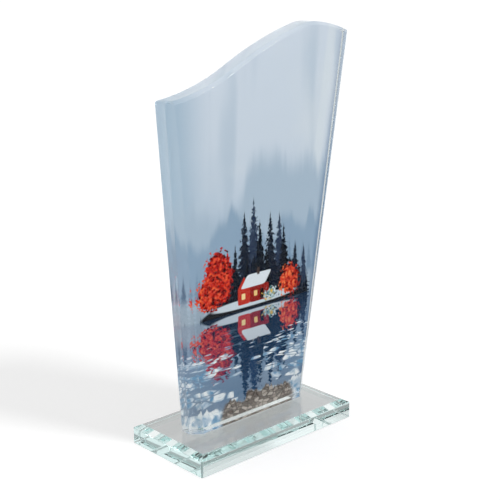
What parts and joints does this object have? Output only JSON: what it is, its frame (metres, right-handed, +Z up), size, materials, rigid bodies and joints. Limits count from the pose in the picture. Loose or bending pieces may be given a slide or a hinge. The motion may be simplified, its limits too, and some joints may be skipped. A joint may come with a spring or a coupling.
{
  "type": "curved glass photo frame",
  "caption": "Upright bevelled glass plate with an S-curved top edge and a picture behind it, bonded to a flat bevelled glass base for display on a desk or shelf.",
  "frame": {"origin": "centre of the base's underside", "axes": "+X to the viewer's right, +Y to the rear, +Z up"},
  "size_m": [0.1157, 0.052, 0.1994],
  "materials": {
    "base_glass": "polished clear float glass, faintly aqua at its edges",
    "plaque_glass": "polished clear float glass, faintly aqua at its edges",
    "picture_print": "thin ink film seen through the glass, pale blue-grey over dark",
    "white_backing": "smooth matt white coat",
    "bond_film": "clear light-cured adhesive"
  },
  "bodies": {
    "root": {"base_glass": "base_glass", "plaque_glass": "plaque_glass", "picture_print": "picture_print", "white_backing": "white_backing", "bond_film": "bond_film"}
  },
  "joints": []
}
